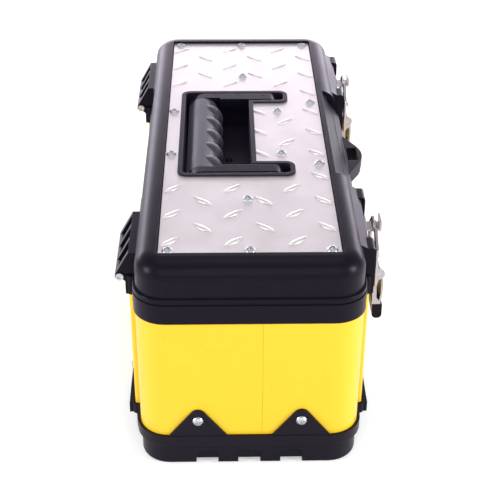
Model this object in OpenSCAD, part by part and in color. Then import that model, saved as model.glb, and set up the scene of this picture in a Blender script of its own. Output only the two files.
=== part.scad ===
// Hard tool case: plastic tray, steel walls, plastic top frame, hinged lid with a
// tread plate, a folding handle sunk in the lid and two draw latches.
// Millimetres. +X runs along the case, +Y to the hinges, +Z up.
// The origin is the middle of the underside, on the ground.

/* [Case] */
// Length of the steel walls
case_len = 410; // [400:1:470]
// Depth of the steel walls between the pillars
case_depth = 161; // [158:1:190]
// Height of the seam between the lid and the top frame
seam_z = 143; // [134:1:180]
// Radius of the four upright corners
corner_r = 22; // [20:0.5:24]
// How far the hinge and latch pillars stand out of the long walls
pillar_proud = 5; // [4.5:0.5:7]
// Thickness of the steel walls
steel_t = 0.8; // [0.6:0.1:1.2]
// Distance of the wall seam in front of the middle of each end
lap_y = 9; // [5:1:14]

/* [Tray] */
// Height of the inset foot part of the tray
foot_h = 19.7; // [18:0.1:22]
// Inset of the foot part from the steel walls
foot_inset = 0.6; // [0.4:0.1:3]
// Radius of the bottom edge of the tray
foot_round = 2.5; // [1.5:0.5:5]
// Height of the rim that covers the lower edge of the walls
rim_h = 8.8; // [7:0.2:11]
// How far that rim stands out of the walls
rim_proud = 2.3; // [1.8:0.1:3]
// How far that rim stands out of the pillars
pad_rim_proud = 4.4; // [3:0.2:5]
// Thickness of the tray walls and floor
tray_t = 2.6; // [2.2:0.1:3.2]
// Depth of the channels that part the feet
channel_depth = 3.5; // [2:0.5:4]
// Half width of a screw tab at its base
tab_half = 21.2; // [18:0.2:23]
// Height of a screw tab above the rim
tab_h = 23.5; // [21:0.5:26]
// Distance of the end tabs from the middle
tab_y = 37.5; // [34:0.5:42]

/* [Top frame] */
// Height of the black band above the steel walls
band_h = 15; // [12:1:18]
// How far the band stands out of the walls
band_proud = 1.2; // [1:0.1:1.6]
// How far the band stands out of the pillars
pad_proud = 2.2; // [1.8:0.1:2.8]
// Height of the lip that locates the lid
lip_h = 3; // [2:0.5:4]
// Thickness of the frame's inner wall
frame_t = 2.5; // [2.2:0.1:3]

/* [Lid] */
// Height of the lid above the seam
lid_h = 31; // [30.5:0.5:36]
// Radius of the lid's top edge
lid_round = 13; // [12:0.5:14]
// Thickness of the lid
lid_t = 2.8; // [2.4:0.1:3.2]
// Height of the bead along the lid's lower edge
bead_h = 4.2; // [3:0.2:5]
// How far that bead stands out of the lid's sides
bead_proud = 1.8; // [1.2:0.1:2.4]
// How far the lid's sides lie inside the steel walls
lid_inset = 0.8; // [0.4:0.1:1.4]
// Distance of the front scoop from the latch housings
scoop_gap = 9.5; // [8:0.5:14]
// How far the scoop's lower edge stands out of the bead
scoop_proud = 2.1; // [1.6:0.1:2.6]
// Half length of the padlock lug at the lid
lug_base_half = 32; // [30:1:36]
// How far the padlock lug stands out of the lid's side
lug_reach = 16.5; // [15.5:0.5:18]
// Length of the padlock hole
lug_hole_len = 22; // [16:1:22]
// Thickness of the padlock lug in front of the hole
lug_wall = 4; // [3.8:0.1:5]

/* [Tread plate] */
// Distance of the tread plate's ends from the ends of the walls
plate_end_gap = 19; // [18:0.5:24]
// Distance of the tread plate's long edges from the long walls
plate_side_gap = 17.5; // [17:0.5:19]
// Thickness of the tread plate
plate_t = 1.2; // [1:0.1:1.6]
// How far the lid's rim stands above the plate
rim_over = 2; // [1.4:0.2:2.4]
// Spacing of the raised marks along the plate
tread_pitch = 37.6; // [36:0.2:40]
// Length of a raised mark
tread_len = 16.4; // [12:0.2:18]
// Width of a raised mark
tread_w = 4; // [3:0.2:6]
// Height of a raised mark
tread_h = 0.4; // [0.3:0.1:0.8]

/* [Handle] */
// Half length of the handle opening
well_half = 72.5; // [72:0.5:76]
// Width of the plate behind the opening
back_strip = 13.5; // [12.5:0.5:16]
// Width of an arm slot
slot_w = 15.2; // [15:0.2:17]
// Distance of the slot ends in front of the middle
slot_front = 33.9; // [33.5:0.5:38]
// Distance of the tongue's edge in front of the middle
tongue_y = 4.3; // [2:0.1:8]
// Depth of the handle opening below the plate
well_depth = 26; // [26:0.5:28]
// Width of the opening's raised rim
well_rim_w = 3.5; // [2.8:0.1:3.8]
// Height of that rim above the plate
well_rim_h = 1.5; // [1:0.1:2]
// Wall of the well
well_t = 2; // [1.8:0.1:2.2]
// Radius of the grip
grip_r = 12.4; // [11.5:0.1:12.6]
// Distance of the grip's middle from the opening's back edge
grip_back = 15; // [13.5:0.5:17]
// Thickness of the disc at each end of the grip
disc_w = 8.5; // [7:0.1:9]
// Number of finger lobes
lobe_count = 5; // [4:1:6]
// Width of a handle arm
arm_w = 11; // [10:0.5:12]
// Height of a handle arm
arm_h = 10.5; // [9:0.5:11]
// Distance of the handle pivots from the front ends of the slots
pivot_gap = 12.4; // [8:0.2:14]
// Radius of the handle pins
handle_pin_r = 2.5; // [2:0.1:3]

/* [Hinges] */
// Distance of a hinge's middle from the end of the walls
hinge_inset = 67.2; // [60:0.2:72]
// Length of a hinge
hinge_len = 57.6; // [54:0.2:62]
// Distance of the hinge axis behind the pillar's band
hinge_out = 3.9; // [3.8:0.1:4.4]
// Radius of a hinge pin
hinge_pin_r = 2; // [1.8:0.1:2.2]
// Radius of a hinge knuckle
knuckle_r = 3.5; // [3.3:0.1:3.6]
// Thickness of a fin on the lid
fin_t = 5; // [4:0.2:6]
// Number of fins on the lid at each hinge
fin_count = 4; // [3:1:5]

/* [Latches] */
// Distance of a latch's middle from the end of the walls
latch_inset = 78.5; // [72:0.5:84]
// Length of a latch housing
latch_len = 86; // [80:1:90]
// Length of a cheek at the end of a housing
cheek_len = 15; // [11:0.5:16]
// Height of the cheeks above the seam
cheek_h = 22.5; // [21:0.5:24]
// Width of a lever
lever_w = 33; // [31:0.5:34]
// Reach of a lever below its pivot
lever_reach = 28.5; // [27:0.5:31]
// Length of a lever's plastic tip
tip_len = 11.5; // [11:0.5:14]
// Distance from a lever's pivot to the bail's pivot
throw_r = 8; // [7.8:0.1:8.2]
// Thickness of the bail wire
wire_d = 3; // [2.8:0.1:3.1]
// Length of the bail from its pivot to the crossbar
bail_len = 40; // [38:0.5:41]
// Length of the bail's straight legs
bail_leg = 28.5; // [26:0.5:30]
// Distance between the middles of the bail's legs
bail_span = 42; // [41.5:0.5:44]
// Half width of the bail's narrow end
hook_half = 8.5; // [7.5:0.5:11]
// Radius of a lever's pivot pin
lever_pin_r = 2; // [1.8:0.1:2.2]

/* [Screws] */
// Diameter of the screw heads
head_d = 8; // [7:0.2:8.4]
// Height of the screw heads
head_h = 2.4; // [2:0.1:2.8]
// Diameter of the screw shanks
shank_d = 3.4; // [3:0.1:4]

/* [Clearances] */
// Gap around pins and shanks in their holes
pin_gap = 0.05; // [0.03:0.01:0.08]
// Gap between parts that are pushed together
fit_gap = 0.1; // [0.06:0.02:0.16]
// Gap between parts that move past each other
run_gap = 0.35; // [0.3:0.05:0.5]

/* [Hidden] */
$fn = 48;
over = 1;

side_y = case_depth / 2;
pillar_y = side_y + pillar_proud;
hinge_x = case_len / 2 - hinge_inset;
latch_x = case_len / 2 - latch_inset;
hinge_margin = 1.4;
latch_margin = 0.2;
pillar_round = 2;
rim_top = foot_h + rim_h;
panel_z0 = foot_h + 2;
band_z0 = seam_z - band_h;
panel_z1 = band_z0 + 8;
inner_grow = -(steel_t + fit_gap);
tray_inside = inner_grow - tray_t;
tray_wall_top = rim_top + tab_h - 2;
floor_z = channel_depth + tray_t;
frame_inside = inner_grow - frame_t;
frame_skirt_z0 = band_z0 - 14;
lip_t = 1.6;
lip_ledge = 4;
tab_round = 6;
tab_proud = 1.7;
tab_screw_z = rim_top + tab_h - 9.7;
end_feet = [8.2, 23, 39.2];
foot_arch_h = 13.5;
foot_arch_depth = 2.4;
foot_arch_r = 4;
centre_pad = 40;
lap_len = 12;
lap_gap = 0.15;
lap_x = case_len / 2 - 1.5 * steel_t;

lid_z0 = seam_z + 0.3;
lid_top = seam_z + lid_h;
plate_top = lid_top - rim_over;
plate_len = case_len - 2 * plate_end_gap;
plate_w = case_depth - 2 * plate_side_gap;
screw_edge = 6.5;
boss_h = 7;
plate_z0 = plate_top - plate_t;
lid_skin_z0 = plate_z0 - 2.5;
lid_side = side_y - lid_inset;
lid_len = case_len - 2 * lid_inset - 1.4;
seat_gap = 0.9;
bead_side = lid_side + bead_proud;
dish_depth = 2.5;

band_pillar_y = pillar_y + pad_proud;
hinge_pad_half = hinge_len / 2 + hinge_margin;
latch_pillar_half = latch_len / 2 + latch_margin;
hinge_y = band_pillar_y + hinge_out;
hinge_z = seam_z - 1;
fin_pitch = (hinge_len - fin_t) / (fin_count - 1);
web_t = 2.7;
web_z1 = lid_top - 12.8;
web_y1 = hinge_y - 6.7;

cheek_y = band_pillar_y + 0.5;
recess_half = latch_len / 2 - cheek_len;
recess_depth = 3.5;
recess_y = band_pillar_y - recess_depth;
latch_pad_half = recess_half - run_gap;
base_plate_t = 1.5;
base_plate_half = 20;
latch_face_y = band_pillar_y + base_plate_t;
lever_y = latch_face_y + 5.5;
lever_z = band_z0;
base_plate_z = [lever_z - 10, lever_z + 12];
latch_pad_z0 = base_plate_z[0] - 2;
ear_r = 5;
ear_t = 1.6;
ear_gap = 0.4;
barrel_r = 3.8;
sheet_t = 1.3;
throw_angle = -105;
bail_y = lever_y + throw_r * cos(throw_angle);
bail_z = lever_z + throw_r * sin(throw_angle);
bail_lean = -1;
crossbar_y = bail_y + bail_len * sin(bail_lean);
crossbar_z = bail_z + bail_len * cos(bail_lean);
wire_r = wire_d / 2;
keeper_half = hook_half - wire_r - 1;
keeper_foot_half = keeper_half + 6;
keeper_t = 1.5;
keeper_ledge = crossbar_z - wire_r - run_gap;
keeper_z0 = keeper_ledge - 10;
keeper_lip_y = crossbar_y + wire_r + 1.7;
keeper_lip_z = keeper_ledge + 7;
keeper_back_z = keeper_ledge + 4.5;
keeper_rivet_x = keeper_foot_half - 3.5;
rivet_r = 1.6;
rivet_head_r = 2.5;
rivet_head_h = 1.1;
rivet_x = 11.5;
tongue_out = 3.4;
tongue_half = 12;
tongue_len = 7;

well_back = plate_w / 2 - back_strip;
grip_y = well_back - grip_back;
pivot_y = slot_front - pivot_gap;
grip_z = plate_top + 1.4 - grip_r;
arm_end_r = 7;
arm_top = plate_top + 1.5;
handle_z = arm_top - arm_end_r;
arm_x = well_half - slot_w / 2;
grip_len = 2 * (arm_x + arm_w / 2 - disc_w - run_gap);
core_r = 7.5;
disc_r = grip_r - 0.1;
lobe_shift = 4.4;
lobe_under = 0.2;

scoop_half = latch_x - latch_len / 2 - scoop_gap;
scoop_y0 = plate_w / 2 + 4.5;
scoop_y1 = bead_side + scoop_proud;
scoop_z1 = seam_z + 6.5;
lug_hole_y = scoop_y1 + 0.3;
lug_hole_w = lid_side + lug_reach - lug_wall - lug_hole_y;
lug_top = seam_z + 8;
lug_under = 4;
lug_shoulder = 13;
lug_round = 30;

black = [0.16, 0.15, 0.18];
yellow = [0.98, 0.86, 0.22];
silver = [0.86, 0.84, 0.86];
chrome = [0.8, 0.8, 0.82];

// Points where a line from a to a circle at c with radius r touches it, turned one way
function touch_point(a, c, r, turn) =
    let (
        run = c - a,
        far = norm(run),
        angle = atan2(run[1], run[0]) + turn * asin(r / far),
        reach = sqrt(far * far - r * r)
    )
    a + reach * [cos(angle), sin(angle)];

// Rectangle with round corners, flat
module round_rect(x, y, r) {
    square([x - 2 * r, y], center = true);
    square([x, y - 2 * r], center = true);
    for (sx = [-1, 1], sy = [-1, 1])
        translate([sx * (x / 2 - r), sy * (y / 2 - r)]) circle(r);
}

// Plan of the walls with their four pillars, grown by a distance
module wall_plan(grow) {
    round_rect(case_len + 2 * grow, case_depth + 2 * grow, corner_r + grow);
    r = max(0.6, pillar_round + grow);
    reach = pillar_y + grow;
    for (side = [-1, 1]) {
        translate([side * hinge_x, reach / 2])
            round_rect(2 * (hinge_pad_half + grow), reach, r);
        translate([side * latch_x, -reach / 2])
            round_rect(2 * (latch_pillar_half + grow), reach, r);
    }
}

module wall_slab(z0, z1, grow) {
    translate([0, 0, z0]) linear_extrude(z1 - z0) wall_plan(grow);
}

module wall_ring(z0, z1, outer, inner) {
    translate([0, 0, z0]) linear_extrude(z1 - z0) difference() {
        wall_plan(outer);
        wall_plan(inner);
    }
}

// Sweeps a profile, drawn outward from the corner axis, round a rectangle and fills it
module swept_body(x, y, r, z0, z1) {
    ax = x / 2 - r;
    ay = y / 2 - r;
    for (side = [0, 180]) rotate([0, 0, side]) {
        translate([ax, 0, 0]) rotate([90, 0, 0])
            linear_extrude(2 * ay, center = true) children();
        translate([0, ay, 0]) rotate([90, 0, 90])
            linear_extrude(2 * ax, center = true) children();
        translate([ax, ay, 0]) rotate_extrude(angle = 90, $fn = 96) children();
        translate([-ax, ay, 0]) rotate([0, 0, 90])
            rotate_extrude(angle = 90, $fn = 96) children();
    }
    translate([-ax, -ay, z0]) cube([2 * ax, 2 * ay, z1 - z0]);
}

// Places a drawing on an end wall: its x runs along Y, its y up, and it grows outward
module on_end(side, out) {
    rotate([0, 0, side < 0 ? 180 : 0]) translate([out, 0, 0]) rotate([90, 0, 90]) children();
}

// Places a drawing on a long wall: its x runs along the wall, its y up, and it grows outward
module on_long(side, x, out) {
    translate([x, side * out, 0]) rotate([90, 0, side > 0 ? 180 : 0]) children();
}

// Pan-head screw with a cross recess; the head sits on z = 0 and the shank points down
module pan_screw(length) {
    dome = (head_d * head_d / 4 + head_h * head_h) / (2 * head_h);
    slot_depth = head_h * 0.55;
    difference() {
        rotate_extrude() intersection() {
            translate([0, head_h - dome]) circle(dome, $fn = 96);
            square([head_d / 2, head_h]);
        }
        for (turn = [20, 110]) rotate([0, 0, turn])
            translate([-head_d * 0.27, -0.55, head_h - slot_depth])
                cube([head_d * 0.54, 1.1, slot_depth + over]);
    }
    translate([0, 0, -length]) cylinder(d = shank_d, h = length + 0.2);
}

module shank_hole(length) {
    translate([0, 0, -length]) cylinder(r = shank_d / 2 + pin_gap, h = length + over);
}

// Rivet with a domed head on z = 0
module rivet(length) {
    dome = (rivet_head_r * rivet_head_r + rivet_head_h * rivet_head_h) / (2 * rivet_head_h);
    rotate_extrude() intersection() {
        translate([0, rivet_head_h - dome]) circle(dome, $fn = 64);
        square([rivet_head_r, rivet_head_h]);
    }
    translate([0, 0, -length]) cylinder(r = rivet_r, h = length + 0.2);
}

module rivet_hole(length) {
    translate([0, 0, -length]) cylinder(r = rivet_r + pin_gap, h = length + over);
}

// ---- Screws that hold the walls to the tray ----

module at_tab_screws() {
    out = fit_gap + tab_proud;
    for (side = [-1, 1], y = [-tab_y, tab_y])
        on_end(side, case_len / 2 + out) translate([y, tab_screw_z, 0]) children();
    for (x = [-hinge_x, hinge_x])
        on_long(1, x, pillar_y + out) translate([0, tab_screw_z, 0]) children();
    for (x = [-latch_x, latch_x])
        on_long(-1, x, pillar_y + out) translate([0, tab_screw_z, 0]) children();
}

tab_screw_len = tab_proud + 2 * fit_gap + steel_t + tray_t - 0.4;

module base_screws() {
    color(chrome) at_tab_screws() pan_screw(tab_screw_len);
}

// ---- Tray ----

module tab_plate() {
    tip = [0, tab_h - tab_round];
    left = touch_point([-tab_half, 0], tip, tab_round, 1);
    linear_extrude(tab_proud) {
        polygon([[-tab_half, -1], [tab_half, -1], [tab_half, 0], [-left[0], left[1]],
                 tip, left, [-tab_half, 0]]);
        translate(tip) circle(tab_round);
    }
}

module foot_profile() {
    r = corner_r - foot_inset;
    translate([0, foot_round]) square([r, foot_h - foot_round]);
    square([r - foot_round, foot_h]);
    translate([r - foot_round, foot_round]) circle(foot_round);
}

// Outline of a recess in the foot's end, with round upper corners
module foot_arch(half) {
    low = foot_arch_h - foot_arch_r;
    translate([-half, -over]) square([2 * half, low + over]);
    translate([foot_arch_r - half, -over])
        square([2 * (half - foot_arch_r), foot_arch_h + over]);
    for (side = [-1, 1]) translate([side * (half - foot_arch_r), low]) circle(foot_arch_r);
}

module foot_gap(y0, y1) {
    for (side = [-1, 1]) {
        translate([side > 0 ? centre_pad : -case_len / 2 - over, y0, -over])
            cube([case_len / 2 + over - centre_pad, y1 - y0, channel_depth + over]);
        on_end(side, case_len / 2 - foot_inset - foot_arch_depth)
            linear_extrude(foot_arch_depth + over)
                translate([side * (y0 + y1) / 2, 0]) foot_arch((y1 - y0) / 2);
    }
}

module base_tray() {
    foot_room = case_len / 2 - foot_inset - foot_arch_depth - tray_t;
    color(black) difference() {
        union() {
            swept_body(case_len - 2 * foot_inset, case_depth - 2 * foot_inset,
                       corner_r - foot_inset, 0, foot_h) foot_profile();
            wall_slab(channel_depth + 1, foot_h, -foot_inset);
            wall_slab(foot_h, rim_top, rim_proud);
            for (side = [-1, 1]) {
                translate([side * hinge_x - hinge_pad_half, side_y, foot_h])
                    cube([2 * hinge_pad_half, pillar_proud + pad_rim_proud, rim_h]);
                translate([side * latch_x - latch_pillar_half, -pillar_y - pad_rim_proud, foot_h])
                    cube([2 * latch_pillar_half, pillar_proud + pad_rim_proud, rim_h]);
            }
            wall_slab(rim_top, tray_wall_top, inner_grow);
            for (side = [-1, 1], y = [-tab_y, tab_y])
                on_end(side, case_len / 2 + fit_gap) translate([y, rim_top, 0]) tab_plate();
            for (x = [-hinge_x, hinge_x])
                on_long(1, x, pillar_y + fit_gap) translate([0, rim_top, 0]) tab_plate();
            for (x = [-latch_x, latch_x])
                on_long(-1, x, pillar_y + fit_gap) translate([0, rim_top, 0]) tab_plate();
        }
        wall_ring(panel_z0, rim_top + over, fit_gap, inner_grow);
        lap_strips(panel_z0, tray_wall_top + over, fit_gap);
        intersection() {
            wall_slab(floor_z, foot_h + 2, -foot_inset - tray_t);
            translate([-foot_room, -case_depth, 0]) cube([2 * foot_room, 2 * case_depth, seam_z]);
        }
        wall_slab(foot_h + 2 - 0.01, tray_wall_top + over, tray_inside);
        foot_gap(-end_feet[0], end_feet[0]);
        foot_gap(end_feet[1], end_feet[2]);
        foot_gap(-end_feet[2], -end_feet[1]);
        at_tab_screws() shank_hole(tab_screw_len + 0.2);
    }
}

// ---- Steel walls ----

module wall_holes() {
    at_tab_screws() shank_hole(tab_screw_len + 0.2);
    at_latch_rivets() rivet_hole(latch_rivet_len + 0.2);
}

// The strips of the front wall that reach behind the back wall, grown by a gap
module lap_strips(z0, z1, gap) {
    for (side = [-1, 1])
        translate([side * lap_x - steel_t / 2 - gap, -lap_y - lap_len / 2 - gap, z0])
            cube([steel_t + 2 * gap, lap_len + 2 * gap, z1 - z0]);
}

module steel_panel_front() {
    color(yellow) difference() {
        union() {
            intersection() {
                wall_ring(panel_z0 + fit_gap, panel_z1, 0, -steel_t);
                translate([-case_len, -case_depth - lap_y - lap_gap, 0])
                    cube([2 * case_len, case_depth, seam_z]);
            }
            lap_strips(panel_z0 + fit_gap, panel_z1, 0);
        }
        wall_holes();
    }
}

module steel_panel_back() {
    color(yellow) difference() {
        intersection() {
            wall_ring(panel_z0 + fit_gap, panel_z1, 0, -steel_t);
            translate([-case_len, -lap_y, 0]) cube([2 * case_len, 2 * case_depth, seam_z]);
        }
        wall_holes();
    }
}

// ---- Top frame ----

module knuckle_leaf() {
    axle = [hinge_y, hinge_z];
    low = [band_pillar_y, hinge_z - 8.5];
    touch = touch_point(low, axle, knuckle_r, -1);
    polygon([[band_pillar_y - 1, low[1]], low, touch, axle,
             [axle[0] - 1, seam_z], [band_pillar_y - 1, seam_z]]);
    translate(axle) circle(knuckle_r);
}

module frame_knuckles(side) {
    first = side * hinge_x - hinge_len / 2 + fin_t;
    for (i = [0 : fin_count - 2])
        translate([first + i * fin_pitch + run_gap, 0, 0]) rotate([90, 0, 90])
            linear_extrude(fin_pitch - fin_t - 2 * run_gap) knuckle_leaf();
}

// Plan of the padlock lug: straight flanks that run into a round end
module lug_plan(reach, base_half) {
    end = lid_side + reach;
    shoulder = end - lug_round + sqrt(pow(lug_round, 2) - pow(lug_shoulder, 2)) + 0.25;
    mirror([0, 1]) {
        polygon([[-base_half, lid_side - 3], [-base_half, scoop_y1], [-lug_shoulder, shoulder],
                 [lug_shoulder, shoulder], [base_half, scoop_y1], [base_half, lid_side - 3]]);
        intersection() {
            translate([0, end - lug_round]) circle(lug_round, $fn = 96);
            translate([-lug_shoulder, shoulder - 1]) square([2 * lug_shoulder, lug_round]);
        }
    }
}

module lug_hole(z0, z1) {
    translate([-lug_hole_len / 2, -lug_hole_y - lug_hole_w, z0])
        cube([lug_hole_len, lug_hole_w, z1 - z0]);
}

// Plan of the lip that locates the lid, grown by a distance
module lip_plan(grow) {
    room = grow - lid_t - run_gap;
    round_rect(lid_len + 2 * room, 2 * (lid_side + room), corner_r - lid_inset + room);
}

module upper_frame() {
    color(black) difference() {
        union() {
            wall_slab(band_z0, seam_z, band_proud);
            wall_slab(frame_skirt_z0, band_z0 + over, inner_grow);
            translate([0, 0, seam_z - lip_ledge]) linear_extrude(lip_ledge + lip_h)
                lip_plan(0);
            for (side = [-1, 1]) {
                frame_knuckles(side);
                translate([side * hinge_x - hinge_pad_half, pillar_y + fit_gap, band_z0])
                    cube([2 * hinge_pad_half, pad_proud - fit_gap, band_h]);
                translate([side * latch_x - latch_len / 2, -cheek_y, band_z0])
                    cube([latch_len, cheek_y - pillar_y - fit_gap, band_h]);
                translate([side * latch_x - latch_pad_half, -band_pillar_y, latch_pad_z0])
                    cube([2 * latch_pad_half, band_pillar_y - pillar_y - fit_gap,
                          seam_z - latch_pad_z0]);
            }
            translate([0, 0, seam_z - lug_under]) linear_extrude(lug_under)
                lug_plan(lug_reach - 0.5, lug_base_half - 2);
        }
        wall_ring(frame_skirt_z0 - over, panel_z1 + fit_gap, fit_gap, inner_grow);
        lap_strips(frame_skirt_z0 - over, panel_z1 + fit_gap, fit_gap);
        wall_slab(frame_skirt_z0 - over, seam_z - lip_ledge, frame_inside);
        translate([0, 0, frame_skirt_z0]) linear_extrude(seam_z)
            lip_plan(-lip_t);
        for (side = [-1, 1]) {
            translate([side * latch_x - recess_half, -cheek_y - over, band_z0 - over])
                cube([2 * recess_half, over + cheek_y - band_pillar_y, band_h + 2 * over]);
            translate([side * hinge_x - hinge_len, hinge_y, hinge_z]) rotate([0, 90, 0])
                cylinder(r = hinge_pin_r + pin_gap, h = 2 * hinge_len);
        }
        lug_hole(seam_z - lug_under - over, seam_z + over);
        at_latch_rivets() rivet_hole(latch_rivet_len + 0.2);
    }
}

// ---- Hinge pins ----

module hinge_pin(side) {
    head = knuckle_r - 0.6;
    length = hinge_len + 0.6;
    color(chrome) translate([side * hinge_x - length / 2, hinge_y, hinge_z]) rotate([0, 90, 0]) {
        cylinder(r = hinge_pin_r, h = length);
        translate([0, 0, -1]) difference() {
            cylinder(r = head, h = 1);
            translate([0, 0, -over]) cylinder(r = head / 2, h = over + 0.6);
        }
        translate([0, 0, length]) cylinder(r = head, h = 1);
    }
}

// ---- Lid ----

module lid_profile(inset, top, edge_r) {
    r = corner_r - lid_inset - inset;
    translate([0, lid_z0 - over]) square([r, top - edge_r - lid_z0 + over]);
    translate([0, lid_z0 - over]) square([r - edge_r, top - lid_z0 + over]);
    translate([r - edge_r, top - edge_r]) intersection() {
        circle(edge_r, $fn = 96);
        square(edge_r);
    }
}

module bead_profile() {
    r = corner_r - lid_inset + bead_proud;
    square([r, bead_h - 1]);
    square([r - 1, bead_h]);
    translate([r - 1, bead_h - 1]) circle(1);
}

module fin_profile() {
    axle = [hinge_y, hinge_z];
    shoulder = [web_y1, web_z1];
    touch = touch_point(shoulder, axle, knuckle_r, 1);
    polygon([[lid_side - 1, lid_z0], [lid_side - 1, web_z1], shoulder, touch, axle,
             [axle[0] - knuckle_r, lid_z0]]);
    translate(axle) circle(knuckle_r);
}

module lid_hinge(side) {
    start = side * hinge_x - hinge_len / 2;
    translate([start, lid_side - 1, web_z1 - web_t])
        cube([hinge_len, web_y1 - lid_side + 1, web_t]);
    for (i = [0 : fin_count - 1])
        translate([start + i * fin_pitch, 0, 0]) rotate([90, 0, 90])
            linear_extrude(fin_t) fin_profile();
}

module cheek_profile() {
    r = 2.5;
    top = seam_z + cheek_h;
    polygon([[lid_side - 4, lid_z0], [cheek_y, lid_z0], [cheek_y, top - r],
             [cheek_y - r, top], [lid_side - 4, top]]);
    translate([cheek_y - r, top - r]) circle(r);
}

module recess_profile() {
    top = keeper_back_z + 1.5;
    polygon([[lid_side - 4, lid_z0], [recess_y, lid_z0], [recess_y, top],
             [lid_side - 4, top + 5]]);
}

module housing(side) {
    start = side * latch_x - latch_len / 2;
    for (x = [start, start + latch_len - cheek_len])
        mirror([0, 1, 0]) translate([x, 0, 0]) rotate([90, 0, 90])
            linear_extrude(cheek_len) cheek_profile();
    mirror([0, 1, 0]) translate([start, 0, 0]) rotate([90, 0, 90])
        linear_extrude(latch_len) recess_profile();
}

module scoop_cut() {
    depth = scoop_y1 - scoop_y0;
    rise = lid_top - scoop_z1;
    mirror([0, 1, 0]) translate([-scoop_half, 0, 0]) rotate([90, 0, 90])
        linear_extrude(2 * scoop_half)
            polygon([[scoop_y0, lid_top], [scoop_y1, scoop_z1],
                     [scoop_y1 + depth, scoop_z1], [scoop_y1 + depth, lid_top + over],
                     [scoop_y0, lid_top + over]]);
}

// Fills the lid's front out to the scoop's slope, before the slope is cut
module scoop_ledge() {
    mirror([0, 1, 0]) translate([-scoop_half, 0, 0]) rotate([90, 0, 90])
        linear_extrude(2 * scoop_half)
            polygon([[lid_side - 6, lid_z0], [scoop_y1, lid_z0], [scoop_y1, scoop_z1 + 1],
                     [lid_side - 6, lid_top - 1]]);
}

module lid_shell() {
    inside = lid_t;
    color(black) difference() {
        union() {
            difference() {
                union() {
                    intersection() {
                        swept_body(lid_len, 2 * lid_side, corner_r - lid_inset, lid_z0 - over,
                                   lid_top) lid_profile(0, lid_top, lid_round);
                        translate([-case_len, -case_len, lid_z0])
                            cube([2 * case_len, 2 * case_len, lid_h]);
                    }
                    translate([0, 0, lid_z0])
                        swept_body(lid_len + 2 * bead_proud, 2 * bead_side,
                                   corner_r - lid_inset + bead_proud, 0, bead_h)
                            bead_profile();
                    scoop_ledge();
                }
                scoop_cut();
                back_dish();
                swept_body(lid_len - 2 * inside, 2 * (lid_side - inside),
                           corner_r - lid_inset - inside, lid_z0 - over, lid_skin_z0)
                    lid_profile(inside, lid_skin_z0, lid_round - inside);
            }
            intersection() {
                for (side = [-1, 1]) {
                    lid_hinge(side);
                    housing(side);
                }
                difference() {
                    translate([-case_len, -case_len, seam_z - 10])
                        cube([2 * case_len, 2 * case_len, lid_h + 10]);
                    translate([-case_len / 2, -(lid_side - inside), 0])
                        cube([case_len, 2 * (lid_side - inside), lid_top - lid_round]);
                }
            }
            lid_lining();
            translate([0, 0, lid_z0]) linear_extrude(lug_top - lid_z0)
                lug_plan(lug_reach, lug_base_half);
            at_plate_screws() translate([0, 0, -plate_t - boss_h])
                cylinder(d = shank_d + 4, h = boss_h);
        }
        translate([0, 0, plate_z0]) linear_extrude(lid_h)
            round_rect(plate_len + 2 * seat_gap, plate_w + 2 * seat_gap, 2);
        translate([0, 0, lid_skin_z0 - over]) linear_extrude(lid_h)
            well_plan(well_t + fit_gap);
        lug_hole(seam_z, lug_top + over);
        at_plate_screws() shank_hole(plate_t + boss_h - 1);
        at_keeper_rivets() rivet_hole(keeper_rivet_len + 0.2);
        for (side = [-1, 1])
            translate([side * hinge_x - hinge_len, hinge_y, hinge_z]) rotate([0, 90, 0])
                cylinder(r = hinge_pin_r + pin_gap, h = 2 * hinge_len);
    }
}

// Shallow sloping face at the back of the lid, between the hinges
module back_dish() {
    half = hinge_x - hinge_len / 2 - 14;
    foot = lid_z0 + bead_h;
    translate([-half, 0, 0]) rotate([90, 0, 90]) linear_extrude(2 * half)
        polygon([[lid_side, foot], [lid_side + over, foot], [lid_side + over, lid_top + over],
                 [lid_side - dish_depth, lid_top + over]]);
}

// Inner wall behind the scoop, so that the scooped side stays as thick as the rest
module lid_lining() {
    mirror([0, 1, 0]) translate([-scoop_half, 0, 0]) rotate([90, 0, 90])
        linear_extrude(2 * scoop_half)
            polygon([[scoop_y0 - lid_t - 1, lid_skin_z0 + 0.5], [scoop_y0, lid_top - 0.4],
                     [scoop_y1 - 0.2, scoop_z1], [lid_side - lid_t, scoop_z1 - 2]]);
}

// ---- Tread plate ----

// One raised mark: the shape where two circles meet
module tread_mark(angle) {
    r = (tread_len * tread_len / 4 + tread_w * tread_w / 4) / tread_w;
    shift = r - tread_w / 2;
    rotate([0, 0, angle]) translate([0, 0, -0.2]) linear_extrude(tread_h + 0.2)
        intersection() {
            translate([0, shift]) circle(r, $fn = 96);
            translate([0, -shift]) circle(r, $fn = 96);
        }
}

tread_step_y = 22.2;
tread_angle = 49;
clear_well = well_half + well_rim_w + 4;

// Marks lie on a lattice of six rows, and those that would meet the handle opening are left out
module tread_marks() {
    for (row = [0 : 5]) {
        y = tread_step_y * (2.5 - row);
        odd = row % 2;
        for (i = [-5 : 5]) {
            x = tread_pitch * (odd == 0 ? i + 0.5 : i);
            beside = abs(x) > clear_well + 4;
            in_front = y < -slot_front - 12;
            on_tongue = y < -tongue_y - 4 && abs(x) < well_half - slot_w - 6;
            if (abs(x) < plate_len / 2 - 11 && (beside || in_front || on_tongue))
                translate([x, y, plate_top]) tread_mark(odd == 0 ? -tread_angle : tread_angle);
        }
    }
}

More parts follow.
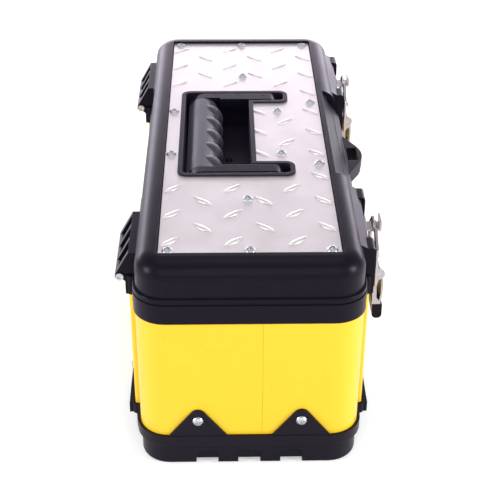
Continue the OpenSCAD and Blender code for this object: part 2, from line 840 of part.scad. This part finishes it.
module at_plate_screws() {
    end_x = plate_len / 2 - screw_edge + 1;
    edge_y = plate_w / 2 - screw_edge;
    spots = [
        [end_x, edge_y], [end_x, 0], [end_x, -edge_y],
        [clear_well + 30, 0], [38.3, plate_w / 2 - 4.3],
        [38.3, -slot_front + 6], [55.5, -edge_y]
    ];
    for (spot = spots, side = [-1, 1])
        translate([side * spot[0], spot[1], plate_top]) children();
}

module tread_plate() {
    color(silver) difference() {
        union() {
            translate([0, 0, plate_z0]) linear_extrude(plate_t)
                round_rect(plate_len, plate_w, 1.5);
            tread_marks();
        }
        translate([0, 0, plate_z0 - over]) linear_extrude(plate_t + tread_h + 2 * over)
            well_plan(well_t + fit_gap);
        at_plate_screws() shank_hole(plate_t + over);
        at_plate_screws() cylinder(d = head_d + 1, h = tread_h + over);
        translate([0, 0, plate_top]) linear_extrude(tread_h + over)
            well_plan(well_rim_w + run_gap);
    }
}

module plate_screws() {
    color(chrome) at_plate_screws() pan_screw(plate_t + 5.5);
}

// ---- Handle well ----

// Plan of the C-shaped opening, grown by a distance
module well_plan(grow) {
    r = 4 + grow;
    main_w = well_back + tongue_y;
    arm_l = well_back + slot_front;
    translate([0, (well_back - tongue_y) / 2])
        round_rect(2 * (well_half + grow), main_w + 2 * grow, r);
    for (side = [-1, 1])
        translate([side * arm_x, (well_back - slot_front) / 2])
            round_rect(slot_w + 2 * grow, arm_l + 2 * grow, r);
}

module handle_well() {
    well_z0 = plate_top - well_depth;
    color(black) difference() {
        union() {
            translate([0, 0, well_z0 - well_t]) linear_extrude(well_depth + well_t)
                well_plan(well_t);
            translate([0, 0, plate_top]) linear_extrude(well_rim_h) well_plan(well_rim_w);
        }
        translate([0, 0, well_z0]) linear_extrude(well_depth + well_rim_h + over) well_plan(0);
        at_handle_pins() cylinder(r = handle_pin_r + pin_gap, h = handle_pin_len + over);
        translate([0, well_screw_y, well_z0]) shank_hole(well_t + over);
    }
}

well_screw_y = 13.2;

module well_screw() {
    color(black) translate([0, well_screw_y, plate_top - well_depth])
        scale(0.8) pan_screw(well_t + 1.5);
}

// ---- Handle ----

handle_pin_len = slot_w + 2 * well_t;

module at_handle_pins() {
    for (side = [-1, 1])
        translate([side * arm_x - handle_pin_len / 2, -pivot_y, handle_z])
            rotate([0, 90, 0]) children();
}

module handle_pins() {
    color(chrome) at_handle_pins() cylinder(r = handle_pin_r, h = handle_pin_len);
}

module arm_profile(length) {
    translate([-pivot_y, handle_z]) circle(arm_end_r);
    translate([-pivot_y, arm_top - arm_h]) square([length, arm_h]);
}

module handle_frame() {
    color(black) difference() {
        union() {
            for (side = [-1, 1]) {
                translate([side * arm_x - arm_w / 2, 0, 0]) rotate([90, 0, 90])
                    linear_extrude(arm_w) arm_profile(grip_y + pivot_y - grip_r - 2);
                outer = side * (arm_x + arm_w / 2);
                translate([side > 0 ? outer - disc_w : outer, 0, 0]) rotate([90, 0, 90]) {
                    linear_extrude(disc_w) {
                        arm_profile(grip_y + pivot_y);
                        translate([grip_y, grip_z]) circle(disc_r);
                    }
                }
            }
            translate([-arm_x, grip_y, grip_z]) rotate([0, 90, 0])
                cylinder(r = core_r, h = 2 * arm_x);
        }
        at_handle_pins() translate([0, 0, -over])
            cylinder(r = handle_pin_r + pin_gap, h = handle_pin_len + 2 * over);
    }
}

// The finger lobes bulge towards the middle of the case, and the far side stays round
module grip_sleeve() {
    lobe_pitch = grip_len / (lobe_count + 0.4);
    color(black) translate([0, grip_y, grip_z]) difference() {
        union() {
            rotate([0, 90, 0]) cylinder(r = grip_r, h = grip_len, center = true);
            for (i = [0 : lobe_count - 1])
                translate([(i - (lobe_count - 1) / 2) * lobe_pitch, -lobe_shift, 0])
                    rotate([0, 90, 0]) sphere(grip_r - lobe_under);
        }
        rotate([0, 90, 0]) cylinder(r = core_r + pin_gap, h = grip_len + 2, center = true);
    }
}

// ---- Keepers on the lid ----

keeper_rivet_len = keeper_t + recess_y - lid_side + 1.5;

module at_keeper_rivets() {
    for (side = [-1, 1], x = [-keeper_rivet_x, keeper_rivet_x])
        translate([side * latch_x + x, -recess_y - keeper_t, keeper_z0 + 4])
            rotate([90, 0, 0]) children();
}

// Side view of the hook that holds the bail's narrow end
module keeper_hook() {
    translate([recess_y, keeper_ledge - keeper_t])
        square([keeper_t, keeper_back_z - keeper_ledge + keeper_t]);
    translate([recess_y, keeper_ledge - keeper_t]) square([keeper_lip_y - recess_y, keeper_t]);
    translate([keeper_lip_y, keeper_ledge])
        square([keeper_t, keeper_lip_z - keeper_ledge - keeper_t / 2]);
    translate([keeper_lip_y, keeper_ledge]) intersection() {
        circle(keeper_t);
        translate([0, -keeper_t]) square(keeper_t);
    }
    translate([keeper_lip_y + keeper_t / 2, keeper_lip_z - keeper_t / 2])
        circle(keeper_t / 2);
}

module keeper(side) {
    color(chrome) difference() {
        at_latch(side) {
            translate([-keeper_foot_half, recess_y, keeper_z0])
                cube([2 * keeper_foot_half, keeper_t, keeper_ledge - keeper_z0]);
            translate([-keeper_half, 0, 0]) rotate([90, 0, 90]) linear_extrude(2 * keeper_half)
                keeper_hook();
        }
        at_keeper_rivets() rivet_hole(keeper_rivet_len);
    }
}

module keeper_rivets() {
    color(chrome) at_keeper_rivets() rivet(keeper_rivet_len);
}

// ---- Latches ----

latch_rivet_len = base_plate_t + pad_proud + steel_t + fit_gap + frame_t;

module at_latch_rivets() {
    for (side = [-1, 1], x = [-rivet_x, rivet_x], z = [base_plate_z[0] + 3.4, base_plate_z[1] - 3.4])
        translate([side * latch_x + x, -latch_face_y, z]) rotate([90, 0, 0]) children();
}

module latch_rivets() {
    color(chrome) at_latch_rivets() rivet(latch_rivet_len);
}

// Shifts a part drawn in front of a case at y = 0 to its latch, with y pointing outward
module at_latch(side) {
    translate([side * latch_x, 0, 0]) mirror([0, 1, 0]) children();
}

module latch_base(side) {
    ear_x = lever_w / 2 + ear_gap;
    color(chrome) difference() {
        at_latch(side) {
            translate([-base_plate_half, band_pillar_y, base_plate_z[0]])
                cube([2 * base_plate_half, base_plate_t, base_plate_z[1] - base_plate_z[0]]);
            for (x = [-ear_x - ear_t, ear_x])
                translate([x, 0, 0]) rotate([90, 0, 90]) linear_extrude(ear_t) {
                    translate([lever_y, lever_z]) circle(ear_r);
                    translate([latch_face_y - 0.2, lever_z - ear_r])
                        square([lever_y - latch_face_y + 0.2, 2 * ear_r]);
                }
        }
        at_latch(side) lever_axis_hole();
        at_latch_rivets() rivet_hole(latch_rivet_len);
    }
}

lever_pin_len = lever_w + 2 * ear_gap + 2 * ear_t;

module lever_axis_hole() {
    translate([-lever_pin_len, lever_y, lever_z]) rotate([0, 90, 0])
        cylinder(r = lever_pin_r + pin_gap, h = 2 * lever_pin_len);
}

module lever_pin(side) {
    color(chrome) at_latch(side) translate([-lever_pin_len / 2, lever_y, lever_z])
        rotate([0, 90, 0]) cylinder(r = lever_pin_r, h = lever_pin_len);
}

// Side view of the lever's bowed sheet, from its barrel down to the tip
module lever_sheet() {
    out = barrel_r;
    low = -lever_reach;
    polygon([[out - sheet_t, 0], [out, 0], [out + 0.9, low * 0.35], [out + 0.8, low * 0.66],
             [tongue_out, low], [tongue_out - sheet_t, low],
             [out - sheet_t + 0.7, low * 0.66], [out - sheet_t + 0.8, low * 0.35]]);
}

// Side view of a lever's side strip, which carries the bail and meets the sheet at the tip
module lever_flange() {
    low = -lever_reach;
    pivot = throw_r * [cos(throw_angle), sin(throw_angle)];
    polygon([[-3.4, 0], [2.5, 0], [-0.2, -11], [0.4, low + 6], [tongue_out - 1, low + 3.5],
             [tongue_out - 1, low], [-2.6, low], [-3.2, low * 0.55], [-3.6, pivot[1]]]);
    translate(pivot) circle(2.9);
    circle(barrel_r);
}

module latch_lever(side) {
    flange_x = lever_w / 2;
    color(chrome) difference() {
        at_latch(side) translate([0, lever_y, lever_z]) {
            translate([-flange_x, 0, 0]) rotate([90, 0, 90]) linear_extrude(lever_w) {
                lever_sheet();
                circle(barrel_r);
            }
            for (x = [-flange_x, flange_x - sheet_t])
                translate([x, 0, 0]) rotate([90, 0, 90]) linear_extrude(sheet_t)
                    lever_flange();
            translate([-tongue_half, tongue_out - sheet_t, -lever_reach - tongue_len])
                cube([2 * tongue_half, sheet_t, tongue_len + 0.2]);
        }
        at_latch(side) {
            lever_axis_hole();
            translate([-lever_w, bail_y, bail_z]) rotate([0, 90, 0])
                cylinder(r = wire_r + pin_gap, h = 2 * lever_w);
        }
    }
}

module lever_tip(side) {
    end_r = 3.2;
    thick = 7.4;
    inner = tongue_out + 1.5 - thick;
    low = -lever_reach - tip_len;
    tongue_in = tongue_out - sheet_t - pin_gap;
    color(black) difference() {
        at_latch(side) translate([-lever_w / 2 - 0.8, lever_y, lever_z]) rotate([90, 0, 90])
            linear_extrude(lever_w + 1.6) {
                translate([inner, low + end_r]) square([thick, tip_len - end_r]);
                translate([inner + end_r, low]) square([thick - 2 * end_r, tip_len]);
                for (y = [inner + end_r, inner + thick - end_r])
                    translate([y, low + end_r]) circle(end_r);
            }
        at_latch(side) translate([-tongue_half - pin_gap, lever_y + tongue_in,
                                  lever_z - lever_reach - tongue_len - fit_gap])
            cube([2 * (tongue_half + pin_gap), sheet_t + 2 * pin_gap, tongue_len + over]);
    }
}

// Straight piece of wire between two points of the bail's plane
module wire_run(a, b) {
    run = b - a;
    translate([a[0], 0, a[1]]) rotate([0, atan2(run[0], run[1]), 0])
        cylinder(r = wire_r, h = norm(run));
}

module latch_bail(side) {
    half = bail_span / 2;
    path = [[lever_w / 2 - 2.5, 0], [half, 0], [half, bail_leg], [hook_half, bail_len]];
    color(chrome) at_latch(side) translate([0, bail_y, bail_z]) rotate([-bail_lean, 0, 0]) {
        for (way = [-1, 1], i = [0 : 2]) {
            a = [way * path[i][0], path[i][1]];
            b = [way * path[i + 1][0], path[i + 1][1]];
            wire_run(a, b);
            translate([b[0], 0, b[1]]) sphere(wire_r);
        }
        wire_run([-hook_half, bail_len], [hook_half, bail_len]);
    }
}

base_tray();
base_screws();
steel_panel_front();
steel_panel_back();
upper_frame();
hinge_pin(-1);  // hinge_pin_left
hinge_pin(1);  // hinge_pin_right
lid_shell();
tread_plate();
plate_screws();
handle_well();
well_screw();
handle_frame();
grip_sleeve();
handle_pins();
keeper(-1);  // keeper_left
keeper(1);  // keeper_right
keeper_rivets();
latch_base(-1);  // latch_base_left
latch_base(1);  // latch_base_right
latch_rivets();
latch_lever(-1);  // latch_lever_left
latch_lever(1);  // latch_lever_right
lever_tip(-1);  // lever_tip_left
lever_tip(1);  // lever_tip_right
lever_pin(-1);  // lever_pin_left
lever_pin(1);  // lever_pin_right
latch_bail(-1);  // latch_bail_left
latch_bail(1);  // latch_bail_right
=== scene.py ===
"""Looks of the hard tool case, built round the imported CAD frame.

Metres, +Z up. X runs along the case, -Y is the latch side and +Y the hinge side.
The camera looks down at the -X end.
"""
import math

import bmesh
import bpy
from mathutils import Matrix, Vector


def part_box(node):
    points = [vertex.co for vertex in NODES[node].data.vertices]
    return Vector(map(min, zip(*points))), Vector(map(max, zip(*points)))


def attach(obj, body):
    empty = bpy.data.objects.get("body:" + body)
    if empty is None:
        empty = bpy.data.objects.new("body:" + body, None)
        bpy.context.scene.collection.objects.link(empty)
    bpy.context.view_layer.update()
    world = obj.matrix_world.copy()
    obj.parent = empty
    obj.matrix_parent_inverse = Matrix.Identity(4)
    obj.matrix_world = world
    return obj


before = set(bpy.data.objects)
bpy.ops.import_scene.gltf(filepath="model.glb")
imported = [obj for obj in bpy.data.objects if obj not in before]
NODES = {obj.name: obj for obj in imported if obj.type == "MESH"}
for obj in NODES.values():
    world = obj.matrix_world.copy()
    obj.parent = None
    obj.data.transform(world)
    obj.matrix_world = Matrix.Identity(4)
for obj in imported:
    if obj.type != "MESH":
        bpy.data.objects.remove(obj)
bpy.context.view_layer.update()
MM = 0.001
MICRON = 0.001 * MM


# ---------------------------------------------------------------- noise patterns
# Each one gives cells per metre, levels of detail, and the share each finer level keeps.

FLOW_MARKS = (9.0, 5.0, 0.6)
WEAR = (34.0, 6.0, 0.65)
SPARK_GRAIN = (2600.0, 2.0, 0.5)
PAINT_DRIFT = (4.0, 2.0, 0.4)
ORANGE_PEEL = (420.0, 2.0, 0.4)
SMEARS = (18.0, 3.0, 0.5)
ROLLING_LINES = (1.0, 4.0, 0.55)
CLOUDS = (30.0, 4.0, 0.6)
HAZE = (90.0, 5.0, 0.6)
RIPPLE = (260.0, 2.0, 0.5)
HAND_SHEEN = (40.0, 4.0, 0.6)
STIPPLE = (1500.0, 2.0, 0.5)
FLOOR_DRIFT = (3.0, 3.0, 0.5)

# Stretch of the rolling lines along X, Y and Z: long in X, fine across
ROLLING_STRETCH = (60.0, 1800.0, 900.0)

# The part of a noise's range that its low and high ends are taken from
LOW = 0.3
HIGH = 0.7


# ---------------------------------------------------------------- node helpers

def new_material(name):
    mat = bpy.data.materials.new(name)
    mat.use_nodes = True
    tree = mat.node_tree
    shader = tree.nodes["Principled BSDF"]
    return mat, tree, shader


def plain(shader, levels):
    """Set the sockets that are the same all over the surface."""
    for socket, value in levels.items():
        shader.inputs[socket].default_value = value


def place(tree):
    """Coordinates in metres in the row frame, which stay with the piece as it moves."""
    return tree.nodes.new("ShaderNodeTexCoord").outputs["Object"]


def scaled(tree, source, scale):
    node = tree.nodes.new("ShaderNodeMapping")
    node.inputs["Scale"].default_value = scale
    tree.links.new(source, node.inputs["Vector"])
    return node.outputs["Vector"]


def noise(tree, source, pattern):
    scale, detail, kept = pattern
    node = tree.nodes.new("ShaderNodeTexNoise")
    node.inputs["Scale"].default_value = scale
    node.inputs["Detail"].default_value = detail
    node.inputs["Roughness"].default_value = kept
    tree.links.new(source, node.inputs["Vector"])
    return node.outputs["Fac"]


def blend(tree, source, first, second, low=LOW, high=HIGH):
    """The first colour where the source is low, passing to the second where it is high."""
    node = tree.nodes.new("ShaderNodeValToRGB")
    stops = node.color_ramp.elements
    for stop, position, colour in zip(stops, (low, high), (first, second)):
        stop.position = position
        stop.color = (*colour, 1.0)
    tree.links.new(source, node.inputs["Fac"])
    return node.outputs["Color"]


def span(tree, source, to_low, to_high):
    """The source's range from LOW to HIGH, turned into the range given."""
    node = tree.nodes.new("ShaderNodeMapRange")
    node.inputs["From Min"].default_value = LOW
    node.inputs["From Max"].default_value = HIGH
    node.inputs["To Min"].default_value = to_low
    node.inputs["To Max"].default_value = to_high
    tree.links.new(source, node.inputs["Value"])
    return node.outputs["Result"]


def share(tree, source, factor):
    node = tree.nodes.new("ShaderNodeMath")
    node.operation = "MULTIPLY"
    node.inputs[1].default_value = factor
    tree.links.new(source, node.inputs[0])
    return node.outputs[0]


def total(tree, first, second):
    node = tree.nodes.new("ShaderNodeMath")
    node.operation = "ADD"
    tree.links.new(first, node.inputs[0])
    tree.links.new(second, node.inputs[1])
    return node.outputs[0]


def rounded_normal(tree, radius):
    """A normal that looks as if the mesh's sharp edges were rounded by this radius."""
    node = tree.nodes.new("ShaderNodeBevel")
    node.samples = 6
    node.inputs["Radius"].default_value = radius
    return node.outputs["Normal"]


def bump(tree, height, distance, strength, normal=None):
    node = tree.nodes.new("ShaderNodeBump")
    node.inputs["Distance"].default_value = distance
    node.inputs["Strength"].default_value = strength
    tree.links.new(height, node.inputs["Height"])
    if normal is not None:
        tree.links.new(normal, node.inputs["Normal"])
    return node.outputs["Normal"]


# ---------------------------------------------------------------- materials

def moulded_plastic(name, dark, light, rough_low, rough_high, grain=1.0, edge=0.4):
    """Black moulded plastic: fine spark grain, faint flow marks and handling sheen.

    grain scales the depth of the grain, and edge is the radius of worn edges in mm.
    """
    mat, tree, shader = new_material(name)
    at = place(tree)
    tone = blend(tree, noise(tree, at, FLOW_MARKS), dark, light, high=0.72)
    tree.links.new(tone, shader.inputs["Base Color"])
    rough = span(tree, noise(tree, at, WEAR), rough_low, rough_high)
    tree.links.new(rough, shader.inputs["Roughness"])
    worn = rounded_normal(tree, edge * MM)
    normal = bump(tree, noise(tree, at, SPARK_GRAIN), 40 * MICRON * grain, 0.5, worn)
    tree.links.new(normal, shader.inputs["Normal"])
    plain(shader, {
        "Specular IOR Level": 0.13,
        "Specular Tint": (0.90, 0.82, 1.0, 1.0),
        "Sheen Weight": 0.09,
        "Sheen Roughness": 0.35,
        "Sheen Tint": (0.70, 0.58, 0.90, 1.0),
    })
    return mat


def yellow_paint(name):
    """Smooth enamel on sheet steel: faint orange peel, slight drift of tone, soft smears."""
    mat, tree, shader = new_material(name)
    at = place(tree)
    drift = noise(tree, at, PAINT_DRIFT)
    tone = blend(tree, drift, (0.96, 0.615, 0.012), (0.98, 0.635, 0.016))
    tree.links.new(tone, shader.inputs["Base Color"])
    worn = rounded_normal(tree, 0.3 * MM)
    normal = bump(tree, noise(tree, at, ORANGE_PEEL), 30 * MICRON, 0.2, worn)
    tree.links.new(normal, shader.inputs["Normal"])
    rough = span(tree, noise(tree, at, SMEARS), 0.26, 0.32)
    tree.links.new(rough, shader.inputs["Roughness"])
    plain(shader, {"Specular IOR Level": 0.4, "Coat Weight": 0.25, "Coat Roughness": 0.12})
    return mat


def tread_metal(name):
    """Mill-finish aluminium: rolled along X, with fine scratches and cloudy sheen."""
    mat, tree, shader = new_material(name)
    at = place(tree)
    lines = noise(tree, scaled(tree, at, ROLLING_STRETCH), ROLLING_LINES)
    clouds = noise(tree, at, CLOUDS)
    tone = blend(tree, clouds, (0.85, 0.78, 0.81), (0.92, 0.85, 0.88), 0.25, 0.75)
    tree.links.new(tone, shader.inputs["Base Color"])
    rough = total(tree, span(tree, lines, 0.16, 0.26), span(tree, clouds, 0.12, 0.20))
    tree.links.new(rough, shader.inputs["Roughness"])
    tree.links.new(bump(tree, lines, 20 * MICRON, 0.35), shader.inputs["Normal"])
    plain(shader, {"Metallic": 0.8})
    return mat


def plated_steel(name, tint, rough_low, rough_high):
    """Bright plating over pressed sheet and wire: slight ripple and handling haze."""
    mat, tree, shader = new_material(name)
    at = place(tree)
    haze = noise(tree, at, HAZE)
    tree.links.new(span(tree, haze, rough_low, rough_high), shader.inputs["Roughness"])
    dim = tuple(0.88 * c for c in tint)
    tree.links.new(blend(tree, haze, dim, tint), shader.inputs["Base Color"])
    worn = rounded_normal(tree, 0.25 * MM)
    normal = bump(tree, noise(tree, at, RIPPLE), 30 * MICRON, 0.4, worn)
    tree.links.new(normal, shader.inputs["Normal"])
    plain(shader, {"Metallic": 1.0})
    return mat


def grip_rubber(name):
    """Soft black grip: matt, with a fine stipple and a faint sheen where it is held."""
    mat, tree, shader = new_material(name)
    at = place(tree)
    held = noise(tree, at, HAND_SHEEN)
    tone = blend(tree, held, (0.026, 0.023, 0.033), (0.038, 0.034, 0.047))
    tree.links.new(tone, shader.inputs["Base Color"])
    tree.links.new(span(tree, held, 0.38, 0.48), shader.inputs["Roughness"])
    normal = bump(tree, noise(tree, at, STIPPLE), 50 * MICRON, 0.5)
    tree.links.new(normal, shader.inputs["Normal"])
    plain(shader, {
        "Specular IOR Level": 0.4,
        "Sheen Weight": 0.20,
        "Sheen Roughness": 0.5,
        "Sheen Tint": (0.70, 0.62, 0.90, 1.0),
    })
    return mat


# Blacks with a slight violet cast, the tray and the well a little paler than the lid
DARK = (0.0042, 0.0032, 0.0074)
LIGHT = (0.0070, 0.0056, 0.0112)
TRAY_DARK = (0.0070, 0.0054, 0.0104)
TRAY_LIGHT = (0.0112, 0.0090, 0.0158)
WELL_DARK = (0.0120, 0.0095, 0.0165)
WELL_LIGHT = (0.0185, 0.0152, 0.0250)

body_black = moulded_plastic("moulded_black", DARK, LIGHT, 0.27, 0.34)
tray_black = moulded_plastic("tray_black", TRAY_DARK, TRAY_LIGHT, 0.27, 0.34)
well_black = moulded_plastic("well_black", WELL_DARK, WELL_LIGHT, 0.30, 0.38, grain=0.7)
handle_black = moulded_plastic("handle_black", DARK, LIGHT, 0.26, 0.34, grain=0.6)
tip_black = moulded_plastic("tip_black", DARK, LIGHT, 0.24, 0.30, grain=0.5, edge=0.25)
rubber = grip_rubber("grip_rubber")
yellow = yellow_paint("yellow_enamel")
aluminium = tread_metal("tread_aluminium")
bright = plated_steel("bright_plating", (0.56, 0.52, 0.54), 0.14, 0.26)
screw_steel = plated_steel("screw_plating", (0.62, 0.64, 0.68), 0.30, 0.42)

LOOKS = {
    body_black: ["upper_frame", "lid_shell"],
    tray_black: ["base_tray"],
    yellow: ["steel_panel_front", "steel_panel_back"],
    aluminium: ["tread_plate"],
    well_black: ["handle_well", "well_screw"],
    handle_black: ["handle_frame"],
    rubber: ["grip_sleeve"],
    tip_black: ["lever_tip_left", "lever_tip_right"],
    bright: [part + side
             for part in ("keeper_", "latch_base_", "latch_lever_", "latch_bail_")
             for side in ("left", "right")],
    screw_steel: ["base_screws", "plate_screws", "handle_pins", "keeper_rivets", "latch_rivets",
                  "hinge_pin_left", "hinge_pin_right", "lever_pin_left", "lever_pin_right"],
}
for look, names in LOOKS.items():
    for name in names:
        mesh = NODES[name].data
        mesh.materials.clear()
        mesh.materials.append(look)


# ---------------------------------------------------------------- raised marks on the plate

# One mark: half its length and width, and its height over the plate's face
MARK_HALF = 8.9 * MM
MARK_HALF_W = 2.7 * MM
MARK_H = 0.8 * MM
MARK_TURN = math.radians(49.0)
# The lattice, the same as that of the flat marks in the CAD
MARK_ROWS = 6
MARK_ROW = 22.2 * MM
MARK_PITCH = 37.6 * MM
MARKS_EACH_WAY = 5
FLAT_MARK_H = 0.4 * MM
# Clear of the plate's ends and of the well: beside it, in front of it, and on its tongue
END_MARGIN = 11.0 * MM
WELL_MARGIN_X = 7.0 * MM
WELL_FRONT_Y = -45.9 * MM
TONGUE_BACK_Y = -8.3 * MM
TONGUE_HALF = 51.3 * MM
# Steps of one mark's grid, the blunting of its tips, and how deep its rim is sunk
STEPS_ALONG = 20
STEPS_ACROSS = 8
TIP_POWER = 0.8
TIP_SHARE = 0.02
SUNK = 0.01 * MM


def mark_places():
    """The lattice of marks: six rows, leaning alternately, clear of the handle opening."""
    well_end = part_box("handle_well")[1][0] + WELL_MARGIN_X
    plate_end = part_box("tread_plate")[1][0] - END_MARGIN
    for row in range(MARK_ROWS):
        y = MARK_ROW * ((MARK_ROWS - 1) / 2 - row)
        odd = row % 2
        for i in range(-MARKS_EACH_WAY, MARKS_EACH_WAY + 1):
            x = MARK_PITCH * (i if odd else i + 0.5)
            beside = abs(x) > well_end
            in_front = y < WELL_FRONT_Y
            on_tongue = y < TONGUE_BACK_Y and abs(x) < TONGUE_HALF
            if abs(x) < plate_end and (beside or in_front or on_tongue):
                yield x, y, MARK_TURN if odd else -MARK_TURN


def dome_height(u, v):
    """Height share of a mark at u along it and v across it, both from -1 to 1."""
    return (1.0 - u ** 8) * (1.0 - v * v)


def mark_grid(bm, x, y, turn, face_z):
    """Rows of points over one lens mark, from tip to tip."""
    grid = []
    for a in range(STEPS_ALONG + 1):
        u = 2.0 * a / STEPS_ALONG - 1.0
        half_w = MARK_HALF_W * max(TIP_SHARE, 1.0 - u * u) ** TIP_POWER
        line = []
        for b in range(STEPS_ACROSS + 1):
            v = 2.0 * b / STEPS_ACROSS - 1.0
            along = u * MARK_HALF
            across = v * half_w
            spot = (x + along * math.cos(turn) - across * math.sin(turn),
                    y + along * math.sin(turn) + across * math.cos(turn),
                    face_z + MARK_H * dome_height(u, v) - SUNK)
            line.append(bm.verts.new(spot))
        grid.append(line)
    return grid


def skin_grid(bm, grid):
    """A smooth skin over the grid, and one flat face under it that closes the mark."""
    for line, after in zip(grid, grid[1:]):
        for b in range(STEPS_ACROSS):
            face = bm.faces.new((line[b], after[b], after[b + 1], line[b + 1]))
            face.smooth = True
    rim = [line[0] for line in grid] + grid[-1][1:]
    rim += [line[-1] for line in reversed(grid[:-1])] + grid[0][-2:0:-1]
    bm.faces.new(rim[::-1])


def raised_marks():
    """Pillow-shaped lens marks that the rolling leaves on the plate, as one mesh."""
    face_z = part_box("tread_plate")[1][2] - FLAT_MARK_H
    bm = bmesh.new()
    for x, y, turn in mark_places():
        skin_grid(bm, mark_grid(bm, x, y, turn, face_z))
    mesh = bpy.data.meshes.new("tread_marks")
    bm.normal_update()
    bm.to_mesh(mesh)
    bm.free()
    piece = bpy.data.objects.new("tread_marks", mesh)
    bpy.context.scene.collection.objects.link(piece)
    mesh.materials.append(aluminium)
    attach(piece, "lid")


raised_marks()


# ---------------------------------------------------------------- floor and light

FLOOR_HALF = 6.0
# White that the floor adds to its lit tone, as the camera sees it and as gloss mirrors it
SEEN_LIFT = 0.36
MIRRORED_LIFT = 0.14
WHITE = (1.0, 1.0, 1.0)
VIOLET_WHITE = (0.94, 0.87, 1.0)
WORLD_STRENGTH = 0.5
CASE_MIDDLE = (0.0, 0.0, 0.1)

# Name, place, size in metres, power in watts, colour
LAMPS = [
    ("top_softbox", (0.1, 0.0, 1.9), (1.2, 1.2), 4.0, WHITE),
    ("left_softbox", (-0.65, 1.45, 0.58), (0.4, 0.5), 12.0, WHITE),
    ("right_softbox", (-0.70, -1.40, 0.55), (0.4, 0.5), 15.0, WHITE),
    ("back_strip", (1.9, 0.0, 0.40), (5.2, 0.6), 50.0, VIOLET_WHITE),
    ("end_fill", (-2.4, 0.0, 1.4), (2.6, 1.8), 18.0, WHITE),
]


def studio_floor():
    """A pale matt sheet, lifted nearly to white, that keeps the shadow of the case."""
    mat, tree, shader = new_material("studio_floor")
    drift = noise(tree, place(tree), FLOOR_DRIFT)
    tone = blend(tree, drift, (0.86, 0.86, 0.86), (0.88, 0.88, 0.88))
    tree.links.new(tone, shader.inputs["Base Color"])
    path = tree.nodes.new("ShaderNodeLightPath")
    seen = share(tree, path.outputs["Is Camera Ray"], SEEN_LIFT)
    mirrored = share(tree, path.outputs["Is Glossy Ray"], MIRRORED_LIFT)
    tree.links.new(total(tree, seen, mirrored), shader.inputs["Emission Strength"])
    plain(shader, {
        "Roughness": 0.9,
        "Specular IOR Level": 0.0,
        "Emission Color": (*WHITE, 1.0),
    })
    mesh = bpy.data.meshes.new("floor")
    far = FLOOR_HALF
    corners = [(-far, -far, 0), (far, -far, 0), (far, far, 0), (-far, far, 0)]
    mesh.from_pydata(corners, [], [(0, 1, 2, 3)])
    floor = bpy.data.objects.new("floor", mesh)
    bpy.context.scene.collection.objects.link(floor)
    mesh.materials.append(mat)


def white_world():
    world = bpy.data.worlds.new("studio")
    world.use_nodes = True
    sky = world.node_tree.nodes["Background"]
    sky.inputs["Color"].default_value = (*WHITE, 1.0)
    sky.inputs["Strength"].default_value = WORLD_STRENGTH
    bpy.context.scene.world = world


def area_light(name, place_at, size, power, colour):
    """A rectangular lamp that faces the middle of the case."""
    data = bpy.data.lights.new(name, "AREA")
    data.shape = "RECTANGLE"
    data.size, data.size_y = size
    data.energy = power
    data.color = colour
    lamp = bpy.data.objects.new(name, data)
    bpy.context.scene.collection.objects.link(lamp)
    lamp.location = place_at
    aim = Vector(CASE_MIDDLE) - Vector(place_at)
    lamp.rotation_euler = aim.to_track_quat("-Z", "Y").to_euler()


studio_floor()
white_world()
for lamp_values in LAMPS:
    area_light(*lamp_values)


# ---------------------------------------------------------------- camera

# Where the photograph was taken from, found from the corners of the plate and the walls
CAMERA_AT = (-0.86297, 0.01820, 0.60146)
CAMERA_TILT = math.radians(57.8207)
CAMERA_ROLL = math.radians(-0.3630)
CAMERA_HEADING = math.radians(-91.2926)
SENSOR_MM = 36.0
LENS_MM = 84.96


def photo_camera():
    data = bpy.data.cameras.new("photo_camera")
    data.sensor_fit = "HORIZONTAL"
    data.sensor_width = SENSOR_MM
    data.lens = LENS_MM
    data.clip_start = 0.01
    camera = bpy.data.objects.new("photo_camera", data)
    bpy.context.scene.collection.objects.link(camera)
    camera.location = CAMERA_AT
    camera.rotation_euler = (CAMERA_TILT, CAMERA_ROLL, CAMERA_HEADING)
    bpy.context.scene.camera = camera


photo_camera()

bpy.context.scene.view_settings.view_transform = "Standard"

bpy.context.view_layer.update()
